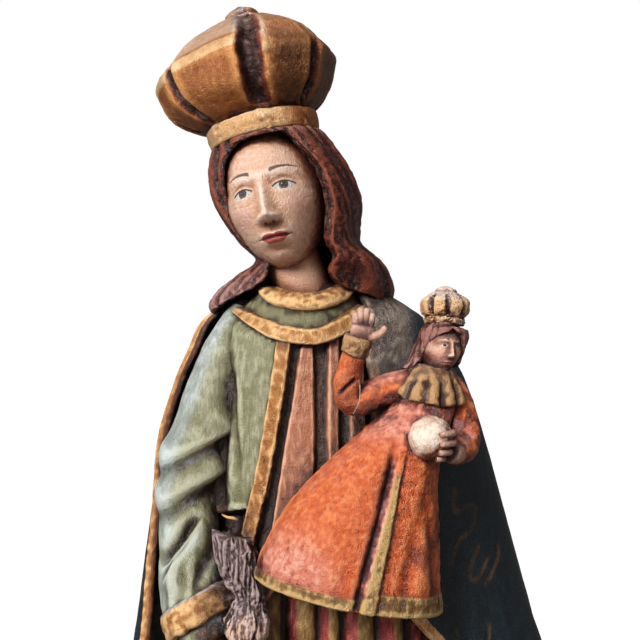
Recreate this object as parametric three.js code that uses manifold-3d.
// A carved and painted wooden santos figure. A crowned woman in a long mantle carries a small crowned
// child on her left arm and holds a gnarled branch in her right hand, on a low moulded plinth.
// Millimetres, +Z up. The figures look along -Y, and the origin is under the middle of the plinth.
import * as THREE from "three";
import { mergeVertices } from "three/addons/utils/BufferGeometryUtils.js";
import Module from "manifold-3d";

const wasm = await Module();
wasm.setup();

const PLINTH_WIDTH = 236;
const PLINTH_DEPTH = 176;
const PLINTH_HEIGHT = 26;
const SEAM = 0.3; // gap left between pieces that touch
const SOLE = PLINTH_HEIGHT + SEAM;

// Her gown and skirt: [height, middle x, middle y, half width, half depth].
const GOWN = [
  [SOLE, 2, -6, 70, 50],
  [75, 2, -6, 66, 48],
  [130, 1, -5, 61, 44],
  [190, 0, -4, 55, 40],
  [235, -1, -3, 50, 37],
  [270, -2, -2, 46, 35],
  [305, -3, -2, 43, 33],
  [335, -4, -2, 40, 31],
  [352, -4, -3, 34, 28],
  [364, -4, -4, 26, 22],
  [374, -4, -6, 17, 16],
];
const HEM_OF_GOWN = 60; // height of the green gown's hem at her right side
const HEM_STEP = 3; // how far the gown stands out from the skirt under it
const PLEATS = 4.5; // pleats of the skirt from its middle to its side
const PLEAT_DEPTH = 2.4;

// The gold border down the gown's front edge: [height, x]. The gown is on its left, the skirt on its right.
const BORDER = [
  [HEM_OF_GOWN + 1, -47],
  [120, -42.6],
  [180, -37.6],
  [235, -30.6],
  [277, -24.2],
  [297, -19.6],
  [328, -14.5],
  [350, -11.6],
];
const BORDER_HALF = 2.7;
// The middle of her neckline and of the gold band of her collar, across the front of the gown: [x, height].
const NECKLINE = [
  [-20.6, 372],
  [-15.5, 368.8],
  [-9.6, 366.9],
  [-2.6, 366.2],
  [4, 367.3],
  [9.1, 369.6],
  [14.4, 373],
];
const NECKLINE_HALF = 3;
const COLLAR = [
  [-32.5, 366],
  [-26.8, 361.8],
  [-21.8, 358.6],
  [-15, 355],
  [-5.6, 352.7],
  [1.3, 352.8],
  [6.7, 355.2],
  [13.7, 359.6],
  [27, 371],
];
const COLLAR_HALF = 3;
const UNDER_COLLAR = 350; // where the folds of the gown start
// The folds that fan out under the collar: [x at the collar, slope, half width, height].
const FOLDS = [
  [-19, -0.17, 5, 2.2],
  [-3, -0.09, 4.6, 3],
  [6.5, 0.02, 4.6, 2.6],
];

// Her mantle: [height, middle x, middle y, half width, front half depth, back half depth,
// angle of the left edge, angle of the right edge]. Angles are in degrees from the front.
const MANTLE = [
  [SOLE, 8, 4, 103.5, 62, 60, -66, 44],
  [100, 10.5, 3, 100, 57, 56, -67, 43],
  [160, 11.2, 2, 95.5, 52, 52, -69, 42],
  [223, 9, 1, 86.8, 47, 48, -71, 36],
  [238, 7.7, 0, 83.2, 46, 47, -73, 27],
  [253, 6.3, 0, 79.9, 45, 46, -76, 20],
  [282, 4.3, 0, 74.2, 42, 44, -83, 19],
  [310, 1.9, 0, 68.8, 39, 41, -85, 20],
  [335, 1, 0, 61.6, 35, 37, -87, 21],
  [347, 0.3, 0, 55.4, 32, 34.5, -90, 22],
  [359, -0.6, 0, 47.3, 28, 30, -98, 30],
  [366, -1, 0, 38, 24, 28, -105, 36],
  [374, -3, 0, 25, 18, 22, -112, 46],
];
const MANTLE_LIP = 5; // thickness of the mantle at its free edges
const MANTLE_FLUTES = 7; // hanging folds across the back
const FLUTE_DEPTH = 4;

// Her right arm, from the shoulder down: [x, y, z, radius].
const SLEEVE = [
  [-27, -6, 361, 9],
  [-35, -10, 347, 10.2],
  [-42, -12, 327, 11.5],
  [-48, -14, 307, 11.8],
  [-51, -18, 285, 12],
  [-49, -28, 264, 13],
  [-47.4, -33.5, 255, 13.8],
];
const SLEEVE_FOLDS = { count: 3.6, depth: 1.3 }; // slanting folds along the sleeve
const CUFF = [
  [-47.4, -34.7, 253.7, 15],
  [-45, -36, 249.5, 16.4],
  [-42.6, -37.3, 245.3, 15.2],
];
const WRIST = [
  [-43, -38, 247.5, 7.5],
  [-38.5, -42.5, 238, 6.8],
  [-33, -47, 230, 6.8],
  [-27, -49, 227, 6.8],
];
const FIST = { x: -26, y: -50, z: 227.5, wide: 9.6, deep: 9, tall: 9.2 };
// Her left arm under the mantle, which the child sits on.
const LEFT_ARM = [
  [40, -14, 292, 13],
  [38, -26, 286, 12],
  [27, -34, 281, 11],
  [12, -38, 278, 9],
];

// The branch in her hand, from its lower end to its broken top: [x, y, z, radius].
const BRANCH = [
  [-24, -51, 205, 3.6],
  [-25.5, -50.5, 216, 4.6],
  [-26, -50, 228, 4.4],
  [-25.6, -50, 237, 5.6],
  [-25, -50, 244, 8.2],
  [-24.6, -50, 250.5, 7],
  [-24.4, -50, 257.5, 4.8],
  [-27.4, -49.5, 265, 6.6],
  [-29, -49, 272, 7.7],
  [-30.8, -49, 281, 7.2],
];
const BRANCH_STEPS = 15;
const BRANCH_SIDES = 9;

// Her head: its middle, its half sizes, and how it leans (degrees).
const HEAD = { x: -15.3, y: -12, z: 408.5, wide: 20.6, deep: 27, tall: 30 };
const HEAD_LEAN = { roll: -12, pitch: -4, yaw: -10 };
const NECK = [
  [-4, -7, 364, 14],
  [-6, -8.5, 374, 11.5],
  [-10, -10, 388, 11],
];
// Her hair: [height, middle x, middle y, half width, half depth].
const HAIR = [
  [359, -5, 4, 37, 27],
  [365, -6, 3, 39.5, 28],
  [371, -3.2, 1, 37.2, 28.5],
  [377.5, -0.5, -2, 33.4, 28],
  [383.6, 0.8, -5, 27.8, 28],
  [390, -5.5, -7.5, 25.8, 29],
  [397, -8.6, -9, 27.8, 30],
  [407, -11, -10, 30.6, 31],
  [417, -13.4, -11, 29.9, 30.5],
  [427, -15.6, -11, 26.7, 27.4],
  [437, -19.8, -11, 22.7, 23],
  [443, -22, -11, 12, 13],
];
const HAIR_LOCKS = { count: 10, depth: 0.03 };
const HAIR_DROP = 30; // how much lower the hair falls at the back
const FACE_OPENING = 45; // degrees each side of the front that the hair leaves open

// Her crown, up its own axis from the middle of the head: [height, radius, shift to her left].
const CROWN = [
  [23.7, 20.4, 0],
  [24.2, 22.3, 0],
  [31.2, 23, 0],
  [31.9, 21, 0],
  [35.6, 27.6, -1.8],
  [42, 33.8, -2.8],
  [52, 36.6, -2.5],
  [58.5, 32.8, -1.2],
  [65, 27.2, 0.3],
  [73.8, 12.8, 1.2],
  [75.4, 7.4, 1.2],
  [78, 6.8, 1.2],
  [80.2, 3.4, 1.2],
];
const CROWN_LOBES = 8;
// Where the grooves between the lobes are, cut by eye: [place if they were even, real place], in degrees.
const GROOVES = [
  [-180, -163],
  [-135, -120],
  [-90, -79],
  [-45, -41],
  [0, 17],
  [45, 63],
  [90, 108],
  [135, 153],
  [180, 197],
];
const CROWN_GROOVE = 0.17; // depth of the grooves as a share of the radius

// The child's robe: [height, middle x, middle y, half width, half depth].
const ROBE = [
  [257.5, 12.8, -51.5, 34.2, 23.9],
  [269, 14.2, -51.5, 32.4, 22.9],
  [288.5, 19.5, -51, 26.7, 20.6],
  [304, 26, -51, 19.8, 17.5],
  [317.2, 34, -50.5, 15.3, 14.9],
  [327.4, 40.7, -50, 12.4, 12],
  [334.6, 43.7, -50, 10.3, 10],
  [340.7, 44.8, -50, 7.4, 7.4],
];
const ROBE_TILT = -0.18; // how the robe's levels drop towards its left, in height per width
const ROBE_FOLDS = { count: 9, depth: 1.3 };
const ROBE_LAP = { at: 0.22, half: 0.16, depth: 1.9 }; // the front edge that laps over, by share of width
// The child's ruff: its middle, its lobes, and its outline from the lower rim as [height, radius].
const RUFF = { x: 44.3, y: -51, z: 338, lobes: 9, lobeDepth: 0.08, roll: 8, pitch: 10 };
const RUFF_OUTLINE = [
  [-8, 9.4],
  [-6.8, 12.6],
  [-4, 12.2],
  [3, 6],
];
const CHILD_RIGHT_ARM = [
  [35.6, -49, 334.5, 6.1],
  [24.4, -49, 332.4, 6.1],
  [14.6, -49.5, 328.4, 5.4],
  [11.9, -51, 330.8, 5],
  [12.6, -53.5, 338, 4.9],
  [15, -56, 347, 4.4],
];
const CHILD_CUFF = [
  [14.8, -55.7, 346.8, 4.9],
  [16.2, -56.4, 352.6, 5.3],
];
const CHILD_PALM = [
  [15.4, -56.6, 348.8, 3.5],
  [17.2, -57.4, 354.9, 4.3],
  [18.5, -57.8, 359.5, 4],
  [19, -58.4, 363.1, 2.6],
];
const CHILD_THUMB = [
  [18.3, -57.6, 352.5, 1.8],
  [22.4, -58.4, 352.9, 1.5],
  [25.4, -59, 355.9, 1.1],
];
const CHILD_LEFT_ARM = [
  [51.4, -49, 332.5, 5.7],
  [55.2, -51, 322.3, 5.3],
  [55.2, -56, 312.7, 5.3],
  [49.4, -63.5, 311.1, 4.7],
];
const CHILD_LEFT_HAND = [
  [50.4, -63, 311.1, 3.9],
  [46.8, -69, 310.7, 3.5],
  [42.3, -73.6, 311.5, 2.7],
];
const ORB = { x: 41.4, y: -68.5, z: 317.2, radius: 7.8 };
const CHILD_HEAD = { x: 46.8, y: -51.5, z: 349.6, wide: 7.6, deep: 9, tall: 10 };
const CHILD_HEAD_LEAN = { roll: 4, pitch: -6, yaw: 24 };
const CHILD_HAIR = [
  [341.2, 44.2, -47.6, 10.2, 6.8],
  [344, 45.6, -48.4, 9.7, 8.4],
  [351, 47.5, -50.3, 9.7, 10],
  [355.3, 48, -50.7, 8.8, 9.3],
  [360.4, 48.2, -50.8, 4.1, 4.1],
];
const CHILD_CROWN = [
  [8.4, 6.5, 1.3],
  [8.7, 7.3, 1.3],
  [10.4, 7.5, 1.3],
  [11, 7.1, 1.3],
  [14, 9.1, 1.3],
  [17.2, 8.6, 1.3],
  [20, 5.4, 1.3],
  [20.6, 3.9, 1.3],
  [21.6, 3.7, 1.3],
  [22.6, 1.8, 1.3],
];

const WELD = 0.004; // vertices closer than this become one
const FRONT_SHARE = 0.55; // how far the sides of a skin crowd towards the front
const FACETS = 8; // sides of a limb where nothing else is said

const radians = THREE.MathUtils.degToRad;
const clamp = THREE.MathUtils.clamp;
const smooth = THREE.MathUtils.smoothstep;

// The rest of a row of a table at one place, on a smooth curve through the rows.
function rowAt(rows, place) {
  const last = rows.length - 1;
  const at = clamp(place, rows[0][0], rows[last][0]);
  let i = 0;
  while (i < last - 1 && at > rows[i + 1][0]) i += 1;
  const [a, b] = [rows[i], rows[i + 1]];
  const span = b[0] - a[0];
  const t = (at - a[0]) / span;
  const slope = (k, c) => {
    const [before, after] = [rows[Math.max(k - 1, 0)], rows[Math.min(k + 1, last)]];
    return ((after[c] - before[c]) / (after[0] - before[0])) * span;
  };
  const cubic = (2 * t - 3) * t * t;
  return a.slice(1).map((_, j) => {
    const c = j + 1;
    const bend = slope(i, c) * t * (1 - t) ** 2 - slope(i + 1, c) * t * t * (1 - t);
    return a[c] * (1 + cubic) - b[c] * cubic + bend;
  });
}

// A soft ridge: 1 at the middle, falling to 0 at a distance of 1.
function ridge(distance) {
  return Math.abs(distance) < 1 ? 0.5 + 0.5 * Math.cos(Math.PI * distance) : 0;
}

// An angle from the front, crowded towards the front where the carving is.
function crowded(angle) {
  return angle - FRONT_SHARE * Math.sin(angle);
}

// A closed skin over rings at the given levels. ring(angle, level) is a point of it; angle 0 is the front.
function skin(sides, levels, ring) {
  const geometry = new THREE.CylinderGeometry(1, 1, 1, sides, levels.length - 1);
  const spots = geometry.getAttribute("position");
  const spot = new THREE.Vector3();
  for (let i = 0; i < spots.count; i += 1) {
    spot.fromBufferAttribute(spots, i);
    const level = levels[Math.round((spot.y + 0.5) * (levels.length - 1))];
    if (Math.hypot(spot.x, spot.z) > 0.5) {
      spot.copy(ring(Math.atan2(spot.x, spot.z), level));
    } else {
      spot.copy(ring(0, level)).add(ring(Math.PI, level)).multiplyScalar(0.5);
    }
    spots.setXYZ(i, spot.x, spot.y, spot.z);
  }
  return geometry;
}

// A closed board bent to shape: point(u, v, w) with each of the three from 0 to 1. Seen from its v = 0
// face with w up, u runs to the right.
function board(across, up, point) {
  const geometry = new THREE.BoxGeometry(1, 1, 1, across, 1, up);
  const spots = geometry.getAttribute("position");
  const spot = new THREE.Vector3();
  for (let i = 0; i < spots.count; i += 1) {
    spot.fromBufferAttribute(spots, i).addScalar(0.5);
    spot.copy(point(spot.x, spot.y, spot.z));
    spots.setXYZ(i, spot.x, spot.y, spot.z);
  }
  return geometry;
}

// A round limb through [x, y, z, radius] rows. relief(angle, share) is added to every radius.
function limb(rows, steps, sides = FACETS, relief = () => 0) {
  const path = new THREE.CatmullRomCurve3(rows.map(([x, y, z]) => new THREE.Vector3(x, y, z)));
  const frames = path.computeFrenetFrames(steps);
  const levels = Array.from({ length: steps + 1 }, (_, i) => i);
  const radii = rows.map((row, i) => [i, row[3]]);
  return skin(sides, levels, (angle, i) => {
    const share = path.getUtoTmapping(i / steps);
    const radius = rowAt(radii, share * (rows.length - 1))[0] + relief(angle, share);
    return path
      .getPoint(share)
      .addScaledVector(frames.normals[i], radius * Math.sin(angle))
      .addScaledVector(frames.binormals[i], -radius * Math.cos(angle));
  });
}

// An upright ellipse of a table's row at an angle from the front, pushed out by relief.
function oval([x, y, wide, deep], angle, level, relief = 0) {
  return new THREE.Vector3(
    x + (wide + relief) * Math.sin(angle),
    y - (deep + relief) * Math.cos(angle),
    level,
  );
}

// The solid inside a closed geometry, with vertices that nearly meet made one.
function solid(geometry) {
  const bare = geometry.clone();
  bare.deleteAttribute("normal");
  bare.deleteAttribute("uv");
  const merged = mergeVertices(bare, WELD);
  return new wasm.Manifold(
    new wasm.Mesh({
      numProp: 3,
      vertProperties: merged.getAttribute("position").array,
      triVerts: new Uint32Array(merged.index.array),
    }),
  );
}

// The solids of several geometries joined into one.
function joined(geometries) {
  return geometries.map(solid).reduce((whole, next) => whole.add(next));
}

// The surface of a solid as a geometry.
function surface(whole) {
  const made = whole.getMesh();
  const geometry = new THREE.BufferGeometry();
  geometry.setAttribute("position", new THREE.BufferAttribute(made.vertProperties, 3));
  geometry.setIndex(new THREE.BufferAttribute(made.triVerts, 1));
  return geometry;
}

// The largest body of a solid, welded, without the crumbs and pockets that cuts and joins leave.
function mainBody(whole) {
  const largest = (bodies) => bodies.sort((a, b) => b.volume() - a.volume())[0];
  const welded = solid(surface(largest(whole.decompose())));
  return largest(welded.decompose());
}

// The frame of a leaning head: from its own upright axes to the figure's.
function headFrame({ x, y, z }, { roll, pitch, yaw }) {
  return new THREE.Matrix4()
    .makeTranslation(x, y, z)
    .multiply(new THREE.Matrix4().makeRotationY(radians(roll)))
    .multiply(new THREE.Matrix4().makeRotationX(radians(pitch)))
    .multiply(new THREE.Matrix4().makeRotationZ(radians(yaw)));
}

// Relief of the folds that fan out under the collar.
function foldRelief(x, z) {
  const below = UNDER_COLLAR - z;
  const folds = FOLDS.map(([at, slope, half, height]) => {
    const reach = half + 0.04 * below;
    return height * ridge((x - at - slope * below) / reach);
  });
  return Math.max(...folds) * smooth(below, -2, 12);
}

// A point on her gown and skirt.
function gownPoint(angle, z, proud = 0) {
  const row = rowAt(GOWN, z);
  const across = Math.sin(angle);
  const x = row[0] + row[2] * across;
  const skirt = 1 - smooth(z, 225, 275);
  const pleats = PLEAT_DEPTH * Math.cos(2 * Math.PI * PLEATS * across);
  const apron = HEM_STEP + PLEAT_DEPTH * Math.cos(2 * Math.PI * 2 * across);
  const covered = z > HEM_OF_GOWN ? smooth(rowAt(BORDER, z)[0] - x, -4, 3) : 0;
  const front = smooth(Math.cos(angle), -0.1, 0.2);
  const relief = skirt * THREE.MathUtils.lerp(pleats, apron, covered) + foldRelief(x, z);
  return oval(row, angle, z, front * relief + proud);
}

// A point on the front of her gown at a given x.
function gownFront(x, z, proud) {
  const [middle, , wide] = rowAt(GOWN, z);
  return gownPoint(Math.asin(clamp((x - middle) / wide, -0.98, 0.98)), z, proud);
}

// A flat gold band laid on the gown along a line of [x, height] points.
function goldBand(line, half, proud) {
  const steps = line.length - 1;
  return board(steps, 1, (u, v, w) => {
    const i = Math.round(u * steps);
    const [x, z] = line[i];
    const [fromX, fromZ] = line[Math.max(i - 1, 0)];
    const [toX, toZ] = line[Math.min(i + 1, steps)];
    const side = ((2 * w - 1) * half) / Math.hypot(toX - fromX, toZ - fromZ);
    return gownFront(x - side * (toZ - fromZ), z + side * (toX - fromX), v < 0.5 ? proud : -3);
  });
}

// Evenly spaced values from one number to another.
function spaced(from, to, steps) {
  return Array.from({ length: steps + 1 }, (_, i) => from + ((to - from) * i) / steps);
}

// The smooth line of a collar through its rows.
function collarLine(rows, steps) {
  return spaced(rows[0][0], rows[rows.length - 1][0], steps).map((x) => [x, rowAt(rows, x)[0]]);
}

function gown() {
  const skirtLevels = [SOLE, HEM_OF_GOWN - 1, HEM_OF_GOWN + 1, 150, 240];
  const levels = [...skirtLevels, 275, 310, 344, 358, 374];
  return skin(42, levels, (angle, z) => gownPoint(crowded(angle), z));
}

function gownBorder() {
  const line = spaced(BORDER[0][0], BORDER[BORDER.length - 1][0], 9).map((z) => [rowAt(BORDER, z)[0], z]);
  return goldBand(line, BORDER_HALF, 1.8);
}

// Her right sleeve, with folds that slant down to the front.
function sleeve() {
  const { count, depth } = SLEEVE_FOLDS;
  return limb(SLEEVE, 11, 12, (angle, share) => {
    const middle = smooth(share, 0.1, 0.3) * (1 - smooth(share, 0.85, 1));
    return depth * middle * Math.cos(2 * Math.PI * count * share + 1.9 * Math.cos(angle));
  });
}

// A point on the mantle at a share of the way from its right edge round the back to its left edge.
function mantlePoint(u, inward, z) {
  const [x, y, wide, front, back, left, right] = rowAt(MANTLE, z);
  const angle = radians(right + (left + 360 - right) * u);
  const flutes = FLUTE_DEPTH * (1 - smooth(z, 120, 330)) * Math.cos(2 * Math.PI * MANTLE_FLUTES * u);
  const behind = smooth(-Math.cos(angle), -0.2, 0.3);
  const deep = THREE.MathUtils.lerp(front, back, smooth(-Math.cos(angle), -0.35, 0.35));
  const edge = Math.min(u / 0.05, (1 - u) / 0.09, 1);
  const thick = inward * THREE.MathUtils.lerp(MANTLE_LIP, 0.55 * deep, edge ** 2);
  return new THREE.Vector3(
    x + (wide + flutes * behind - thick) * Math.sin(angle),
    y - (deep + flutes * behind - thick) * Math.cos(angle),
    z,
  );
}

function mantle() {
  const levels = [SOLE, 110, 175, 215, 238, 262, 300, 340, 360, 374];
  const last = levels.length - 1;
  return board(24, last, (u, v, w) => mantlePoint(u, v, levels[Math.round(w * last)]));
}

// A head with a brow, nose, lips and chin of ordinary proportions, about its own middle.
function head({ wide, deep, tall }, sides, levels) {
  return skin(sides, levels, (angle, level) => {
    const turn = crowded(angle);
    const round = Math.sqrt(1 - level * level);
    const jaw = 1 - 0.14 * smooth(-level, 0.1, 0.9);
    const x = Math.sin(turn) * round * jaw;
    const bridge = smooth(level, -0.46, -0.4) * (1 - smooth(level, -0.42, 0.12));
    const nose = 0.2 * ridge(x / (0.3 - 0.1 * level)) * bridge;
    const sockets = -0.07 * ridge((Math.abs(x) - 0.4) / 0.32) * ridge((level + 0.02) / 0.17);
    const lips = 0.055 * ridge(x / 0.42) * ridge((level + 0.64) / 0.13);
    const chin = 0.06 * ridge(x / 0.4) * ridge((level + 0.88) / 0.16);
    const face = smooth(Math.cos(turn), 0.4, 0.9) * (nose + sockets + lips + chin);
    return new THREE.Vector3(x * wide, -(Math.cos(turn) * round + face) * deep, level * tall);
  });
}

// Hair as a solid hood, open at the front for the face and longer at the back.
function hair(rows, levels, sides, turned, drop) {
  const [low, high] = [rows[0][0], rows[rows.length - 1][0]];
  return skin(sides, levels, (angle, z) => {
    const up = (z - low) / (high - low);
    const open = radians(FACE_OPENING) * (1 - smooth(up, 0.78, 0.94));
    const inside = open > 0 ? 1 - smooth(Math.abs(angle), open - 0.1, open + 0.1) : 0;
    const strand = 1 + HAIR_LOCKS.depth * Math.cos(angle * HAIR_LOCKS.count + 7 * up);
    const size = THREE.MathUtils.lerp(strand, 0.3, inside);
    const [x, y, wide, deep] = rowAt(rows, z);
    const fall = (1 - smooth(up, 0, 0.3)) * smooth(-Math.cos(angle), 0, 0.8);
    const row = [x, y + 0.3 * drop * fall, wide * size, deep * size];
    return oval(row, angle + radians(turned), z - drop * fall);
  });
}

// A melon-shaped crown of lobes with deep grooves between them, above its band.
function crown(rows, sides) {
  const band = rows[3][0];
  const top = rows[rows.length - 4][0];
  const levels = rows.map(([level]) => level);
  return skin(sides, levels, (angle, level) => {
    const between = Math.abs(Math.cos((angle * CROWN_LOBES) / 2)) ** 3;
    const swell = smooth(level, band, band + 0.1 * (top - band)) * (1 - smooth(level, top - 1, top));
    const [, size, shift] = rows[levels.indexOf(level)];
    const radius = size * (1 - CROWN_GROOVE * swell * between);
    const turn = radians(rowAt(GROOVES, THREE.MathUtils.radToDeg(angle))[0]);
    return new THREE.Vector3(shift + radius * Math.sin(turn), -radius * Math.cos(turn), level);
  });
}

function ball({ x, y, z, wide, deep, tall }, sides, rings) {
  return new THREE.SphereGeometry(1, sides, rings)
    .rotateX(Math.PI / 2)
    .scale(wide, deep, tall)
    .translate(x, y, z);
}

// The four fingers of her right hand, curled round the branch from its far side.
function curledFingers() {
  const { x, y, z, wide, deep, tall } = FIST;
  return [0, 1, 2, 3].map((finger) => {
    const level = z + tall * (0.62 - 0.42 * finger);
    const rows = [-60, 0, 60, 120].map((turn) => [
      x + (wide + 0.6) * Math.sin(radians(turn)) * (1 - 0.06 * finger),
      y - (deep + 0.4) * Math.cos(radians(turn)),
      level,
      2.3 - 0.12 * finger,
    ]);
    return limb(rows, 4, 5);
  });
}

// Her right hand round the branch.
function hand() {
  return [limb(WRIST, 2, 8), ball(FIST, 10, 6), ...curledFingers()];
}

// The room that the branch takes up, a seam wider than it.
function branchRoom() {
  return solid(limb(BRANCH, BRANCH_STEPS, BRANCH_SIDES, () => SEAM + 0.1));
}

function womanSolid() {
  const frame = headFrame(HEAD, HEAD_LEAN);
  const hairLevels = HAIR.map(([level]) => level);
  const mouthLevels = [-0.97, -0.91, -0.82, -0.73, -0.68, -0.64, -0.6, -0.53];
  const faceLevels = [...mouthLevels, -0.46, -0.41, -0.22, -0.02, 0.1, 0.35, 0.8];
  const forms = [
    gown(),
    gownBorder(),
    goldBand(collarLine(COLLAR, 12), COLLAR_HALF, 2.6),
    goldBand(collarLine(NECKLINE, 8), NECKLINE_HALF, 2.8),
    mantle(),
    sleeve(),
    limb(CUFF, 2, 14),
    ...hand(),
    limb(LEFT_ARM, 4, 10),
    limb(NECK, 2, 12),
    head(HEAD, 22, faceLevels).applyMatrix4(frame),
    hair(HAIR, hairLevels, 28, HEAD_LEAN.yaw * 0.5, HAIR_DROP),
    crown(CROWN, 32).applyMatrix4(frame),
  ];
  return mainBody(joined(forms).subtract(branchRoom()));
}

// A point on the child's robe: soft folds and the front edge that laps over.
function robePoint(angle, z) {
  const row = rowAt(ROBE, z);
  const low = 1 - smooth(z, 266, 322);
  const folds = ROBE_FOLDS.depth * (0.4 + low) * Math.cos(ROBE_FOLDS.count * angle + 1.1);
  const lap = ridge((Math.sin(angle) - ROBE_LAP.at) / ROBE_LAP.half) * smooth(Math.cos(angle), 0, 0.3);
  const spot = oval(row, angle, z, folds + ROBE_LAP.depth * (0.35 + 0.65 * low) * lap);
  spot.z += ROBE_TILT * (spot.x - row[0]) * (1 - smooth(z, 300, 335));
  return spot;
}

function robe() {
  const levels = [ROBE[0][0], 268, 281, 295, 308, 320, 331, 340.7];
  return skin(26, levels, (angle, z) => robePoint(crowded(angle), z));
}

function ruff() {
  const { x, y, z, lobes, lobeDepth, roll, pitch } = RUFF;
  const levels = RUFF_OUTLINE.map(([level]) => level);
  return skin(3 * lobes, levels, (angle, level) => {
    const frill = 1 + lobeDepth * Math.cos(lobes * angle) * (level < 0 ? 1 : 0);
    const radius = RUFF_OUTLINE[levels.indexOf(level)][1] * frill;
    return new THREE.Vector3(radius * Math.sin(angle), -radius * Math.cos(angle), level);
  })
    .rotateX(radians(pitch))
    .rotateY(radians(roll))
    .translate(x, y, z);
}

// The room that the front of her gown and mantle takes up, with their folds and a seam round them.
function bodyRoom() {
  const deepest = Math.max(...FOLDS.map(([, , , height]) => height));
  const levels = [225, 245, 265, 285, 305, 325, 345, 360];
  const room = skin(36, levels, (angle, z) => {
    const [x, y, wide, front, , , right] = rowAt(MANTLE, z);
    const cloaked = angle > radians(right - 8);
    const row = cloaked ? [x, y, wide, front] : rowAt(GOWN, z);
    return oval(row, angle, z, cloaked ? 3 * SEAM : deepest + 3 * SEAM);
  });
  return solid(room);
}

function armRoom() {
  return solid(limb(LEFT_ARM, 4, 10, () => SEAM + 0.1));
}

function childSolid() {
  const frame = headFrame(CHILD_HEAD, CHILD_HEAD_LEAN);
  const hairLevels = CHILD_HAIR.map(([level]) => level);
  const faceLevels = [-0.95, -0.8, -0.64, -0.54, -0.46, -0.4, -0.2, -0.02, 0.12, 0.7];
  const { x, y, z, radius } = ORB;
  const forms = [
    robe(),
    ruff(),
    limb(CHILD_RIGHT_ARM, 8, 7),
    limb(CHILD_CUFF, 1, 9),
    limb(CHILD_PALM, 3, 7),
    limb(CHILD_THUMB, 2, 5),
    limb(CHILD_LEFT_ARM, 5, 7),
    limb(CHILD_LEFT_HAND, 3, 7),
    ball({ x, y, z, wide: radius, deep: radius, tall: radius }, 11, 6),
    head(CHILD_HEAD, 12, faceLevels).applyMatrix4(frame),
    hair(CHILD_HAIR, hairLevels, 16, CHILD_HEAD_LEAN.yaw, 0),
    crown(CHILD_CROWN, 16).applyMatrix4(frame),
  ];
  const rooms = [bodyRoom(), armRoom(), branchRoom()];
  return mainBody(rooms.reduce((rest, room) => rest.subtract(room), joined(forms)));
}

function plinthSolid() {
  // Steps of the moulding: [bottom, top, inset, bevel].
  const steps = [
    [0, 15, 0, 2.5],
    [14, 20, 5, 1],
    [19, PLINTH_HEIGHT, 8, 2],
  ];
  const slabs = steps.map(([bottom, top, inset, bevel]) => {
    const wide = PLINTH_WIDTH / 2 - inset - bevel;
    const deep = PLINTH_DEPTH / 2 - inset - bevel;
    const corner = 16;
    const outline = new THREE.Shape();
    outline.moveTo(-wide + corner, -deep);
    outline.lineTo(wide - corner, -deep);
    outline.lineTo(wide, -deep + corner);
    outline.lineTo(wide, deep - corner);
    outline.lineTo(wide - corner, deep);
    outline.lineTo(-wide + corner, deep);
    outline.lineTo(-wide, deep - corner);
    outline.lineTo(-wide, -deep + corner);
    outline.closePath();
    const bevels = { bevelSize: bevel, bevelThickness: bevel, bevelSegments: 1 };
    return new THREE.ExtrudeGeometry(outline, { depth: top - bottom - 2 * bevel, ...bevels }).translate(
      0,
      0,
      bottom + bevel,
    );
  });
  return joined(slabs);
}

// A named mesh of a solid, in the colour of its largest painted area.
function piece(name, whole, colour, roughness) {
  const geometry = surface(whole);
  geometry.computeVertexNormals();
  const material = new THREE.MeshStandardMaterial({ color: colour, roughness, metalness: 0 });
  const mesh = new THREE.Mesh(geometry, material);
  mesh.name = name;
  return mesh;
}

const figure = new THREE.Group();
figure.add(
  piece("crowned_woman", womanSolid(), 0x6f7d68, 0.5),
  piece("crowned_child", childSolid(), 0xc8602f, 0.5),
  piece("gnarled_branch", solid(limb(BRANCH, BRANCH_STEPS, BRANCH_SIDES)), 0x6b5f5c, 0.9),
  piece("plinth", plinthSolid(), 0x3a2418, 0.55),
);

export default figure;
